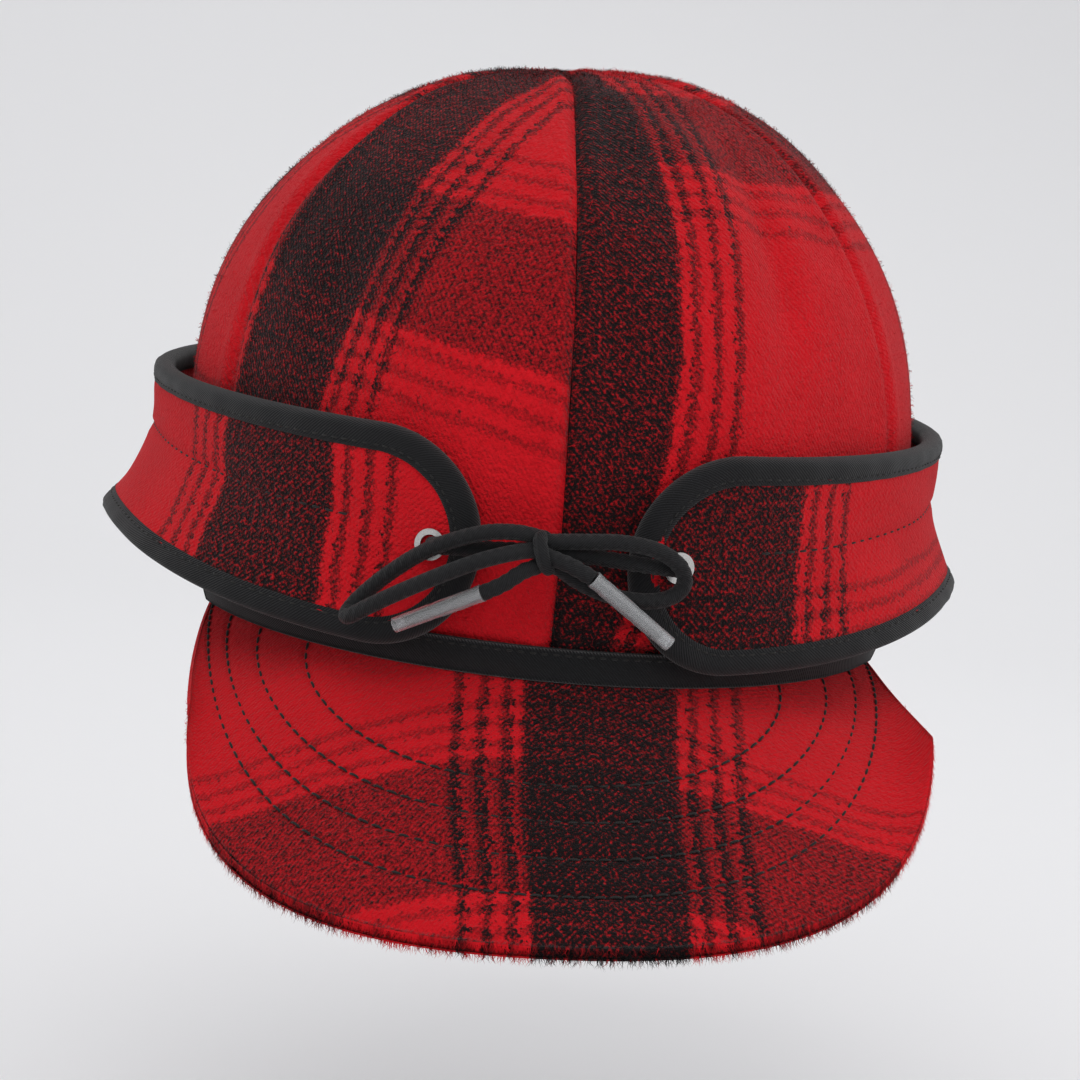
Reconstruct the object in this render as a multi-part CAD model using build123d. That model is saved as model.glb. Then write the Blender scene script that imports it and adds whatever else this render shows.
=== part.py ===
from build123d import *
import math
import os

# A six-panel wool cap with a short visor and a tie-front pull-down ear band.
# Millimetres. -Y is the front, +X the right as seen from the front, +Z up.
# The origin is the centre of the head opening, in the plane of the crown's lower edge.

# ---- crown
crown_half_width = 85.0      # base oval, outside
crown_half_depth = 103.0
crown_height = 131.0
crown_roundness = 0.64       # how soon the wall turns in towards the top
crown_rise = 0.97
crown_bulge = 0.12           # how far the wall swells above the ear band
crown_lean_x = -5.0          # drift of the top towards the left and the front
crown_lean_y = -3.5
crown_slump = 0.075          # the left shoulder hangs lower than the right one
panel_count = 6
panel_thickness = 2.2
panel_seam_gap = 0.15        # half of the gap between two neighbouring panels
lining_thickness = 0.6
lining_hem = 0.02            # share of the wall that the lining stops short of the edge
layer_gap = 0.3
sweatband_thickness = 1.0
sweatband_reach = 0.11       # share of the wall that the sweatband covers
top_reach = 0.98             # share of the wall where the panels' points end

# ---- visor
visor_length = 68.0
visor_half_width = 83.4
visor_slope = 44.0           # degrees below level
visor_root_angle = 67.0      # half of the root, measured round the base oval
visor_outline_power = 2.07
visor_corner_set_back = 14.0
visor_camber = 0.0031
visor_twist = 0.045
visor_skew = 5.0
visor_root_drop = 0.5
visor_cloth = 2.2
visor_board_thickness = 1.6
visor_board_inset = 0.05     # share of the length that the board stops short
root_tape_height = 6.0
root_tape_thickness = 1.0

# ---- ear band
band_height = 50.0
band_foot = 2.0              # height of the band's lower edge above the crown's
band_stand_off = 6.6         # from the base oval to the band's inner face
band_left_stand_off = 3.4    # added on the left side
band_back_stand_off = 1.6    # added at the back, for the hidden ply
band_ply = 2.0
band_flare = 9.3             # how far the lower edge stands out at the sides
band_flare_skew = 1.7
band_crease = 28.0           # height of the stitch line that the flare starts from
band_ear_rise = 13.0         # how much higher the lower edge is over the ears
band_tape_width = 6.3
band_tape_thickness = 5.2
tab_tip_left = 17.0
tab_tip_right = 14.3
cut_angle = 80.0             # where the fixed tabs end and the moving band starts
cut_gap = 0.4
hinge_ply_thickness = 0.8
hinge_ply_set_back = 4.0     # degrees behind the cut
hinge_ply_start = 0.01       # share of the wall
hinge_ply_reach = 0.09

# ---- lacing
eyelet_inset = 10.5          # from the tab's tip to the eyelet's centre
eyelet_bore = 4.4
eyelet_barrel_wall = 0.4
eyelet_flange = 7.0
eyelet_flange_thickness = 0.5
cord_diameter = 3.5
knot_radius = 4.2
aglet_diameter = 3.9
knot_centre = (-3.9, -117.5, 29.3)

lead_left = [(-27.1, -105.4, 27.3), (-29.4, -112.0, 27.3), (-22.0, -115.9, 28.0), (-14.0, -116.5, 28.6),
             (-7.9, -117.0, 29.0)]
loop_left = [(-6.0, -118.4, 32.4), (-10.5, -119.2, 33.2), (-18.0, -119.5, 32.5), (-29.0, -116.8, 27.6),
             (-38.0, -111.4, 19.6), (-44.0, -108.4, 12.8), (-46.0, -113.9, 9.6), (-40.0, -118.2, 14.4),
             (-30.0, -121.0, 20.5), (-19.0, -122.0, 26.2), (-12.0, -121.2, 28.6), (-7.0, -119.6, 29.6)]
tail_left = [(-5.4, -119.0, 26.0), (-8.5, -120.6, 25.0), (-12.4, -121.2, 21.6), (-16.5, -120.0, 19.4)]
aglet_left_end = (-34.6, -114.0, 9.6)
lead_right = [(24.4, -106.1, 27.2), (26.5, -112.6, 27.2), (19.5, -116.4, 27.9), (10.0, -117.2, 28.8),
              (0.1, -117.5, 29.2)]
loop_right = [(-1.6, -119.0, 31.8), (4.0, -119.6, 32.4), (12.5, -120.6, 33.3), (20.5, -119.5, 32.2),
              (26.0, -117.6, 28.6), (27.2, -116.2, 24.0), (23.0, -116.4, 20.6), (15.0, -118.5, 20.3),
              (6.0, -119.6, 22.4), (-1.2, -118.6, 26.4)]
tail_right = [(-1.6, -120.8, 28.2), (2.2, -122.8, 27.4), (6.7, -123.6, 25.2)]
aglet_right_end = (24.5, -122.0, 12.3)


def oval(angle, offset):
    """A point of the base oval, moved out by an offset; angle 0 is the front."""
    x = (crown_half_width + offset) * math.sin(angle)
    y = -(crown_half_depth + offset) * math.cos(angle)
    return x, y


def wall_radius(share):
    """Radius of the crown at a share of its wall, as a share of the base oval."""
    rise = 1 - (1 - share) ** 1.5
    swell = 1 + crown_bulge * math.sin(math.pi * min(1.0, 1.3 * rise))
    return math.cos(rise * math.pi / 2) ** crown_roundness * swell


def crown_point(angle, share, offset):
    rise = 1 - (1 - share) ** 1.5
    radius = wall_radius(share)
    x, y = oval(angle, offset)
    z = (crown_height + offset) * math.sin(rise * math.pi / 2) ** crown_rise
    up = (z / crown_height) ** 2
    x = x * radius + crown_lean_x * up
    y = y * radius + crown_lean_y * up
    return x, y, z + crown_slump * x * up


def smooth_step(value):
    value = min(1.0, max(0.0, value))
    return value * value * (3 - 2 * value)


def band_point(angle, height, offset):
    """A point of the ear band; offset is measured outwards from its inner face."""
    left = max(0.0, -math.sin(angle))
    back = max(0.0, -math.cos(angle))
    stand_off = band_stand_off + band_left_stand_off * left ** 2 + band_back_stand_off * back ** 2
    spread = smooth_step((abs(math.degrees(angle)) - 15) / 50)
    flare = (band_flare - band_flare_skew * math.sin(angle)) * spread
    low = max(0.0, 1 - height / band_crease)
    ear = math.exp(-((abs(math.degrees(angle)) - 80) / 35) ** 2)
    x, y = oval(angle, stand_off + flare * low ** 1.5 + offset)
    z = band_foot + height + band_ear_rise * ear * (1 - height / band_height)
    return x, y, z


def distance_round(angle):
    """Length round the band from the front to an angle."""
    steps = 200
    total = 0.0
    for step in range(steps):
        middle = angle * (step + 0.5) / steps
        across = (crown_half_width + band_stand_off) * math.cos(middle)
        along = (crown_half_depth + band_stand_off) * math.sin(middle)
        total += math.hypot(across, along) * angle / steps
    return total


def angle_round(distance):
    """The inverse of distance_round."""
    low, high = 0.0, math.pi
    for _ in range(40):
        middle = (low + high) / 2
        if distance_round(middle) < distance:
            low = middle
        else:
            high = middle
    return low


def sheet_solid(point, rows, columns, tolerance=0.02):
    """A closed solid between two spline faces; point(u, v, side) gives side 0 and side 1."""
    faces = []
    for side in (0, 1):
        grid = [[point(row / rows, column / columns, side) for column in range(columns + 1)]
                for row in range(rows + 1)]
        faces.append(Face.make_surface_from_array_of_points(grid, tol=tolerance))
    walls = []
    for edge in faces[0].edges():
        partner = min(faces[1].edges(), key=lambda other: (other @ 0.5 - edge @ 0.5).length)
        walls.append(Face.make_surface_from_curves(edge, partner))
    solid = Solid(Shell(faces + walls))
    if solid.volume < 0:
        solid = Solid(Shell([-face for face in faces + walls]))
    return solid


def gore(index, outer, thickness, bottom, top):
    """One wedge of the crown between two seams."""
    start = math.radians(360 / panel_count * index)
    width = math.radians(360 / panel_count)

    def point(u, v, side):
        share = bottom + (top - bottom) * v
        trim = panel_seam_gap / (crown_half_width * wall_radius(share))
        angle = start + trim + (width - 2 * trim) * u
        return crown_point(angle, share, outer - thickness * side)

    return sheet_solid(point, 8, 16)


def visor_point(across, out, offset):
    """A point of the visor; across runs -1 to 1 along the root, out runs 0 to 1 to the edge."""
    slope = math.radians(visor_slope)
    root_x, root_y = oval(across * math.radians(visor_root_angle), 0)
    turn = across * math.pi / 2
    power = 2 / visor_outline_power
    edge_x = visor_half_width * math.copysign(abs(math.sin(turn)) ** power, turn)
    reach = abs(math.cos(turn)) ** power
    edge_run = -visor_corner_set_back + (visor_length + visor_corner_set_back) * reach
    root_run = (-crown_half_depth - root_y) / math.cos(slope)
    run = root_run + (edge_run - root_run) * out
    x = root_x + (edge_x - root_x) * out
    y = -crown_half_depth - run * math.cos(slope)
    z = -run * math.sin(slope) + root_run * math.sin(slope) * (1 - out)
    z += (visor_twist * x - visor_camber * x * x) * out - visor_root_drop
    x += visor_skew * out * out
    return x, y - offset * math.sin(slope), z + offset * math.cos(slope)


def visor_layer(outer, thickness, inset):
    def point(u, v, side):
        across = (2 * u - 1) * (1 - inset)
        return visor_point(across, v * (1 - inset), outer - thickness * side)

    return sheet_solid(point, 24, 10)


def root_tape():
    start = 0.25

    def point(u, v, side):
        angle = (2 * u - 1) * math.radians(visor_root_angle)
        return (*oval(angle, crown_root_swell(v) + layer_gap + root_tape_thickness * side),
                start + root_tape_height * v)

    return sheet_solid(point, 24, 3)


def crown_root_swell(share_of_tape):
    """How far the crown has swelled out at a height on the root tape."""
    return 1.9 * share_of_tape


def tab_grid_point(side, inset, along, turn, offset):
    """A point of a tab inside its taped border.

    along runs 0 to 1 from the rounded tip to the cut, turn runs 0 to 1 from the lower edge up.
    """
    tip = tab_tip_left if side < 0 else tab_tip_right
    tip_run = distance_round(math.asin(tip / (crown_half_width + band_stand_off)))
    cut_run = distance_round(math.radians(cut_angle)) - tip_run - cut_gap
    middle = band_height / 2
    radius = middle - inset
    swing = math.pi * (turn - 0.5)
    run = middle + (cut_run - middle) * along - radius * math.cos(swing) * (1 - along)
    height = middle + radius * math.sin(swing)
    return band_point(side * angle_round(tip_run + run), height, offset)


def tab_ply(side, inner, thickness):
    def point(u, v, face):
        turn = v if side < 0 else 1 - v
        return tab_grid_point(side, band_tape_width + layer_gap, u, turn, inner + thickness * face)

    return sheet_solid(point, 24, 16, tolerance=0.1)


def tab_tape(side):
    """The folded tape round a tab, as three strips: lower edge, rounded tip and upper edge."""
    tip = tab_tip_left if side < 0 else tab_tip_right
    tip_run = distance_round(math.asin(tip / (crown_half_width + band_stand_off)))
    cut_run = distance_round(math.radians(cut_angle)) - tip_run - cut_gap
    middle = band_height / 2
    start = band_ply + layer_gap / 2 - band_tape_thickness / 2

    def point(u, v, face):
        inset = band_tape_width * v
        straight = cut_run - middle
        total = 2 * straight + math.pi * middle
        way = u * total
        if way < straight:
            run, height = cut_run - way, inset
        elif way > total - straight:
            run, height = cut_run - (total - way), band_height - inset
        else:
            swing = (way - straight) / middle
            run = middle - (middle - inset) * math.sin(swing)
            height = middle - (middle - inset) * math.cos(swing)
        angle = side * angle_round(tip_run + run)
        return band_point(angle, height, start + band_tape_thickness * face)

    return sheet_solid(point, 60, 3)


def rear_strip(bottom, top, inner, thickness, rows=48):
    """A strip of the moving band, from one cut round the back to the other."""
    cut = math.radians(cut_angle + 0.2)

    def point(u, v, side):
        angle = cut + (2 * math.pi - 2 * cut) * u
        if angle > math.pi:
            angle -= 2 * math.pi
        return band_point(angle, bottom + (top - bottom) * v, inner + thickness * side)

    return sheet_solid(point, rows, 8)


def hinge_ply():
    """The hidden ply that rises from the crown's edge behind the band to its stitch line."""
    cut = math.radians(cut_angle + hinge_ply_set_back)

    def point(u, v, side):
        angle = cut + (2 * math.pi - 2 * cut) * u
        share = hinge_ply_start + (hinge_ply_reach - hinge_ply_start) * v
        return crown_point(angle, share, layer_gap + hinge_ply_thickness * side)

    return sheet_solid(point, 48, 4)


def eyelet_frame(side):
    """A plane on the tab's outer face at the eyelet, its Z axis pointing outwards."""
    tip = tab_tip_left if side < 0 else tab_tip_right
    tip_run = distance_round(math.asin(tip / (crown_half_width + band_stand_off)))
    angle = side * angle_round(tip_run + eyelet_inset)
    outer = 2 * band_ply + layer_gap
    centre = Vector(*band_point(angle, band_height / 2, outer))
    behind = Vector(*band_point(angle - 0.01, band_height / 2, outer))
    ahead = Vector(*band_point(angle + 0.01, band_height / 2, outer))
    along = (ahead - behind).normalized()
    outwards = along.cross(Vector(0, 0, 1))
    return Plane(origin=centre, x_dir=along, z_dir=outwards)


def eyelet(side):
    frame = eyelet_frame(side)
    depth = 2 * band_ply + layer_gap
    bore = eyelet_bore / 2
    lip = eyelet_flange_thickness
    barrel = Cylinder(bore + eyelet_barrel_wall, depth + layer_gap, align=(Align.CENTER, Align.CENTER, Align.MAX))
    flange = Cylinder(eyelet_flange / 2, lip, align=(Align.CENTER, Align.CENTER, Align.MIN))
    hole = Cylinder(bore, 4 * depth)
    return frame * Pos(0, 0, layer_gap) * (barrel + flange - hole)


def eyelet_washer(side):
    frame = eyelet_frame(side)
    depth = 2 * band_ply + layer_gap
    plate = Cylinder(eyelet_flange / 2, eyelet_flange_thickness)
    hole = Cylinder(eyelet_bore / 2 + eyelet_barrel_wall + 0.1, 4)
    return frame * Pos(0, 0, -depth - layer_gap - eyelet_flange_thickness) * (plate - hole)


def eyelet_hole(side):
    radius = eyelet_bore / 2 + eyelet_barrel_wall + 0.2
    return eyelet_frame(side) * Cylinder(radius, 30)


def cord_radii(points):
    """The largest arc that each corner's two runs allow."""
    radii = []
    for before, here, after in zip(points, points[1:], points[2:]):
        first = Vector(*here) - Vector(*before)
        second = Vector(*after) - Vector(*here)
        half_turn = math.radians(first.get_angle(second)) / 2
        radii.append(0.45 * min(first.length, second.length) / math.tan(half_turn))
    return radii


def cord_tube(name, points):
    radii = cord_radii(points)
    path = FilletPolyline(*points, radius=radii)
    start = Plane(origin=path @ 0, z_dir=path % 0)
    tube = sweep(start * Circle(cord_diameter / 2), path=path)
    share = tube.volume / (path.length * math.pi * cord_diameter ** 2 / 4)
    shown = ", ".join(f"{radius:.1f}" for radius in radii)
    print(f"{name}: length {path.length:.1f}, volume share {share:.3f}, radii {shown}")
    return tube


def aglet(start, end):
    axis = Vector(*end) - Vector(*start)
    frame = Plane(origin=Vector(*start) + axis.normalized() * 0.1, z_dir=axis)
    return frame * Cylinder(aglet_diameter / 2, axis.length, align=(Align.CENTER, Align.CENTER, Align.MIN))


def knot():
    ball = Sphere(knot_radius)
    return Pos(*knot_centre) * ball


os.makedirs("parts", exist_ok=True)


def save(name, shape):
    shape.label = name
    export_step(shape, f"parts/{name}.step")
    print(name, "volume", round(shape.volume, 1), "solids", len(shape.solids()))


places = ["front_right", "side_right", "back_right", "back_left", "side_left", "front_left"]
lining_outer = -(panel_thickness + layer_gap)
sweatband_outer = lining_outer - lining_thickness - layer_gap
for number, place in enumerate(places):
    save(f"crown_panel_{place}", gore(number, 0, panel_thickness, 0, top_reach))
    save(f"lining_gore_{place}", gore(number, lining_outer, lining_thickness, lining_hem, top_reach - 0.01))


def sweatband_point(u, v, side):
    """The sweatband's two ends meet at the centre back."""
    angle = (2 * u - 1) * (math.pi - 0.003)
    return crown_point(angle, sweatband_reach * v, sweatband_outer - sweatband_thickness * side)


save("sweatband", sheet_solid(sweatband_point, 60, 4))

board_outer = -visor_cloth - layer_gap
under_outer = board_outer - visor_board_thickness - layer_gap
save("visor_top_cloth", visor_layer(0, visor_cloth, 0))
save("visor_board", visor_layer(board_outer, visor_board_thickness, visor_board_inset))
save("visor_under_cloth", visor_layer(under_outer, visor_cloth, 0))
save("visor_root_tape", root_tape())

outer_ply_inner = band_ply + layer_gap
for side, place in ((-1, "left"), (1, "right")):
    hole = eyelet_hole(side)
    save(f"tab_outer_ply_{place}", tab_ply(side, outer_ply_inner, band_ply) - hole)
    save(f"tab_inner_ply_{place}", tab_ply(side, 0, band_ply) - hole)
    save(f"tab_edge_tape_{place}", tab_tape(side))
    save(f"eyelet_{place}", eyelet(side))
    save(f"eyelet_washer_{place}", eyelet_washer(side))

tape_inner = band_ply + layer_gap / 2 - band_tape_thickness / 2
cloth_bottom = band_tape_width + layer_gap
cloth_top = band_height - cloth_bottom
save("earband_outer_ply", rear_strip(cloth_bottom, cloth_top, outer_ply_inner, band_ply))
save("earband_inner_ply", rear_strip(cloth_bottom, cloth_top, 0, band_ply))
save("earband_top_tape", rear_strip(band_height - band_tape_width, band_height, tape_inner, band_tape_thickness))
save("earband_lower_tape", rear_strip(0, band_tape_width, tape_inner, band_tape_thickness))
save("earband_hinge_ply", hinge_ply())

save("tie_knot", knot())
for name, points in (("lead_left", lead_left), ("loop_left", loop_left), ("tail_left", tail_left),
                     ("lead_right", lead_right), ("loop_right", loop_right), ("tail_right", tail_right)):
    save(f"tie_cord_{name}", cord_tube(name, points))
save("aglet_left", aglet(tail_left[-1], aglet_left_end))
save("aglet_right", aglet(tail_right[-1], aglet_right_end))
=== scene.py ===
import math

import bpy
import numpy as np
from mathutils import Matrix, Vector


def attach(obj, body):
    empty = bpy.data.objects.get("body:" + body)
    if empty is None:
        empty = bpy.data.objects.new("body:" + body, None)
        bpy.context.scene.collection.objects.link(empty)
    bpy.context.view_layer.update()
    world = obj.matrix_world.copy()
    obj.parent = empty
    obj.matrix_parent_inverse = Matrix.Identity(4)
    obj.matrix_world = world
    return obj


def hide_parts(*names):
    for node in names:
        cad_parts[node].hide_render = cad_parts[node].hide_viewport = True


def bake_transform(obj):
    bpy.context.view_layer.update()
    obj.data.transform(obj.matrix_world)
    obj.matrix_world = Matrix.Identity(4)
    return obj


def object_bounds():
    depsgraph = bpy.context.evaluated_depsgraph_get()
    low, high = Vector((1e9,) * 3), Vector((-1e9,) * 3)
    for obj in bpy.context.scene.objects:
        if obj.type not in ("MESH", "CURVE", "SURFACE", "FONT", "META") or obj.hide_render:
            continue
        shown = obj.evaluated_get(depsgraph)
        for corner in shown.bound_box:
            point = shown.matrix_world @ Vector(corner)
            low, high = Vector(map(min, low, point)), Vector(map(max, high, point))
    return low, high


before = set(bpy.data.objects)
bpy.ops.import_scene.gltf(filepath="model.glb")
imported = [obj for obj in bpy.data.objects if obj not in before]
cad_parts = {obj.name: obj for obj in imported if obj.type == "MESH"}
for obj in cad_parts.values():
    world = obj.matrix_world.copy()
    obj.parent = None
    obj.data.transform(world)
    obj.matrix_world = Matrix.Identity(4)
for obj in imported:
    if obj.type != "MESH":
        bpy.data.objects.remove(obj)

bl_info = {
    "name": "Plaid Ear Band Cap",
    "version": (1, 0, 0),
    "blender": (4, 5, 0),
    "location": "3D View > Sidebar > Cap",
    "description": "Builds a six-panel plaid wool cap with a tied pull-down ear band",
    "category": "Object",
}

CAD_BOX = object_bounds()
MM = 0.001
PI = math.pi

# ---- the cap's shape, in millimetres, as it is in the CAD model
HALF_WIDTH, HALF_DEPTH, HEIGHT = 85.0, 103.0, 131.0
ROUNDNESS, RISE, BULGE = 0.64, 0.97, 0.12
LEAN_X, LEAN_Y, SLUMP = -5.0, -3.5, 0.075
VISOR_LENGTH, VISOR_HALF_WIDTH, VISOR_SET_BACK = 68.0, 83.4, 14.0
VISOR_SLOPE, VISOR_ROOT = math.radians(44.0), math.radians(67.0)
VISOR_POWER, VISOR_CAMBER, VISOR_TWIST, VISOR_SKEW = 2.07, 0.0031, 0.045, 5.0
# Each row of stitching ends at a share of the half width and a share of the length.
VISOR_ROWS = ((0.985, 0.825), (0.87, 0.69), (0.74, 0.555), (0.58, 0.42))
BAND_HEIGHT, BAND_FOOT, STAND_OFF = 50.0, 2.0, 6.6
LEFT_STAND_OFF, BACK_STAND_OFF = 3.4, 1.6
FLARE, FLARE_SKEW, CREASE, EAR_RISE = 9.3, 1.7, 28.0, 13.0
TAPE_WIDTH, TAPE_THICKNESS = 6.3, 5.2
BAND_THICKNESS = 4.3
TAPE_SUNK = 0.35
LINING_DEPTH = 3.3
FLOOR_DROP = 110
TIP = {-1: 17.0, 1: 14.3}
SIDE_NAME = {-1: "left", 1: "right"}
PANELS = ["front_right", "side_right", "back_right", "back_left", "side_left", "front_left"]

# Where the plaid falls on each panel: warp centre, slant, the height of the slant's foot, weft centre.
PANEL_PLAID = {
    "front_right": (-42.0, 0.16, 50.0, 146.0), "side_right": (6.0, 0.05, 0.0, 130.0),
    "back_right": (22.0, 0.0, 0.0, 90.0), "back_left": (-26.0, 0.0, 0.0, 70.0),
    "side_left": (-8.0, 0.0, 0.0, 20.0), "front_left": (-30.0, 0.22, 60.0, 98.0),
}

# ---- the cord's route, in millimetres
CORD_LEFT = [(-27.1, -105.4, 27.3), (-29.4, -112.0, 27.3), (-22.0, -115.9, 28.0), (-14.0, -116.5, 28.6),
             (-7.9, -117.0, 29.0), (-3.2, -118.4, 29.6), (-3.6, -118.6, 32.0),
             (-6.0, -118.4, 32.4), (-10.5, -119.2, 33.2), (-18.0, -119.5, 32.5), (-29.0, -116.8, 27.6),
             (-38.0, -111.4, 19.6), (-44.0, -108.4, 12.8), (-46.0, -113.9, 9.6), (-40.0, -118.2, 14.4),
             (-30.0, -121.0, 20.5), (-19.0, -122.0, 26.2), (-12.0, -121.2, 28.6), (-7.0, -119.6, 29.6),
             (-2.6, -118.0, 29.8), (-3.0, -118.4, 27.6),
             (-5.4, -119.0, 26.0), (-8.5, -120.6, 25.0), (-12.4, -121.2, 21.6), (-16.5, -120.0, 19.4)]
AGLET_LEFT_END = (-34.6, -114.0, 9.6)
CORD_RIGHT = [(24.4, -106.1, 27.2), (26.5, -112.6, 27.2), (19.5, -116.4, 27.9), (10.0, -117.2, 28.8),
              (0.1, -117.5, 29.2), (-4.6, -117.2, 29.6), (-4.4, -118.2, 31.4),
              (-1.6, -119.0, 31.8), (4.0, -119.6, 32.4), (12.5, -120.6, 33.3), (20.5, -119.5, 32.2),
              (26.0, -117.6, 28.6), (27.2, -116.2, 24.0), (23.0, -116.4, 20.6), (15.0, -118.5, 20.3),
              (6.0, -119.6, 22.4), (-1.2, -118.6, 26.4), (-4.8, -118.2, 28.4), (-4.4, -120.0, 29.0),
              (-1.6, -120.8, 28.2), (2.2, -122.8, 27.4), (6.7, -123.6, 25.2)]
AGLET_RIGHT_END = (24.5, -122.0, 12.3)


# ------------------------------------------------------------------ shape
def smooth_step(value):
    value = np.clip(value, 0.0, 1.0)
    return value * value * (3 - 2 * value)


def bump_at(value, centre, width):
    return np.exp(-((value - centre) / width) ** 2)


def oval(angle, offset):
    return (HALF_WIDTH + offset) * np.sin(angle), -(HALF_DEPTH + offset) * np.cos(angle)


def wall_radius(share):
    rise = 1 - (1 - share) ** 1.5
    swell = 1 + BULGE * np.sin(PI * np.minimum(1.0, 1.3 * rise))
    return np.cos(rise * PI / 2) ** ROUNDNESS * swell


def crown_point(angle, share, offset):
    rise = 1 - (1 - share) ** 1.5
    x, y = oval(angle, offset)
    z = (HEIGHT + offset) * np.sin(rise * PI / 2) ** RISE
    up = (z / HEIGHT) ** 2
    x = x * wall_radius(share) + LEAN_X * up
    y = y * wall_radius(share) + LEAN_Y * up
    return np.stack([x, y, z + SLUMP * x * up], -1)


def crown_relief(angle, share):
    """Seam grooves, soft dents and the slack of the cloth, in millimetres."""
    degrees = np.degrees(angle)
    seam = np.abs((degrees + 30) % 60 - 30) * PI / 180 * HALF_WIDTH * wall_radius(share)
    relief = -1.5 * np.exp(-(seam / 1.3) ** 2) + 0.7 * bump_at(seam, 4.0, 2.6)
    relief += 0.5 * np.sin(degrees / 7.0 + 9 * share) * np.sin(11 * share + degrees / 19.0)
    wrapped = (degrees + 180) % 360 - 180
    relief -= 2.4 * bump_at(wrapped, 38 + 14 * (share - 0.38), 4.0) * bump_at(share, 0.38, 0.12)
    relief += 1.2 * bump_at(wrapped, 27, 5.0) * bump_at(share, 0.42, 0.14)
    relief -= 1.6 * bump_at(wrapped, -40, 7.0) * bump_at(share, 0.30, 0.10)
    return relief * np.clip((1 - share) * 9, 0, 1)


def band_point(angle, height, offset):
    left = np.maximum(0.0, -np.sin(angle))
    back = np.maximum(0.0, -np.cos(angle))
    degrees = np.abs(np.degrees(angle))
    spread = smooth_step((degrees - 15) / 50)
    flare = (FLARE - FLARE_SKEW * np.sin(angle)) * spread
    low = np.maximum(0.0, 1 - height / CREASE)
    ear = np.exp(-((degrees - 80) / 35) ** 2)
    stand_off = STAND_OFF + LEFT_STAND_OFF * left ** 2 + BACK_STAND_OFF * back ** 2
    x, y = oval(angle, stand_off + flare * low ** 1.5 + offset)
    z = BAND_FOOT + height + EAR_RISE * ear * (1 - height / BAND_HEIGHT)
    return np.stack(np.broadcast_arrays(x, y, z), -1)


ANGLES = np.linspace(0, PI, 1441)
MIDDLES = (ANGLES[1:] + ANGLES[:-1]) / 2
STEPS = np.hypot((HALF_WIDTH + STAND_OFF) * np.cos(MIDDLES), (HALF_DEPTH + STAND_OFF) * np.sin(MIDDLES))
RUNS = np.concatenate([[0], np.cumsum(STEPS * (ANGLES[1] - ANGLES[0]))])


def angle_at(side, run):
    """The angle on the oval at a run measured from a tab's tip."""
    tip_run = np.interp(math.asin(TIP[side] / (HALF_WIDTH + STAND_OFF)), ANGLES, RUNS)
    return side * np.interp(tip_run + run, RUNS, ANGLES)


def half_run(side):
    """From a tab's tip to the middle of the back."""
    return RUNS[-1] - np.interp(math.asin(TIP[side] / (HALF_WIDTH + STAND_OFF)), ANGLES, RUNS)


def visor_point(across, out, offset):
    root_x, root_y = oval(across * VISOR_ROOT, 0)
    turn = across * PI / 2
    edge_x = VISOR_HALF_WIDTH * np.sign(turn) * np.abs(np.sin(turn)) ** (2 / VISOR_POWER)
    reach = np.abs(np.cos(turn)) ** (2 / VISOR_POWER)
    edge_run = -VISOR_SET_BACK + (VISOR_LENGTH + VISOR_SET_BACK) * reach
    root_run = (-HALF_DEPTH - root_y) / math.cos(VISOR_SLOPE)
    run = root_run + (edge_run - root_run) * out
    x = root_x + (edge_x - root_x) * out
    y = -HALF_DEPTH - run * math.cos(VISOR_SLOPE)
    z = -run * math.sin(VISOR_SLOPE) + root_run * math.sin(VISOR_SLOPE) * (1 - out)
    z = z + (VISOR_TWIST * x - VISOR_CAMBER * x * x) * out - 0.5
    y = y - offset * math.sin(VISOR_SLOPE)
    z = z + offset * math.cos(VISOR_SLOPE)
    return np.stack([x + VISOR_SKEW * out * out, y, z], -1), x, run


# ------------------------------------------------------------------ meshes
def mesh_object(name, points, faces, uvs=None, smooth=True):
    """A mesh in metres from points in millimetres, with an optional UV per point."""
    mesh = bpy.data.meshes.new(name)
    mesh.from_pydata((np.asarray(points) * MM).tolist(), [], [tuple(map(int, f)) for f in faces])
    if uvs is not None:
        layer = mesh.uv_layers.new(name="Cloth")
        loops = np.empty(len(mesh.loops), dtype=np.int64)
        mesh.loops.foreach_get("vertex_index", loops)
        layer.data.foreach_set("uv", (np.asarray(uvs)[loops] * MM).astype(np.float32).ravel())
    mesh.polygons.foreach_set("use_smooth", [smooth] * len(mesh.polygons))
    mesh.update()
    piece = bpy.data.objects.new(name, mesh)
    bpy.context.scene.collection.objects.link(piece)
    return piece


def grid_faces(rows, columns, start=0, flip=False, wrap=False):
    faces = []
    for row in range(rows - 1):
        for column in range(columns if wrap else columns - 1):
            after = (column + 1) % columns
            a, b = start + row * columns + column, start + row * columns + after
            c, d = start + (row + 1) * columns + after, start + (row + 1) * columns + column
            faces.append((a, d, c, b) if flip else (a, b, c, d))
    return faces


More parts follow.
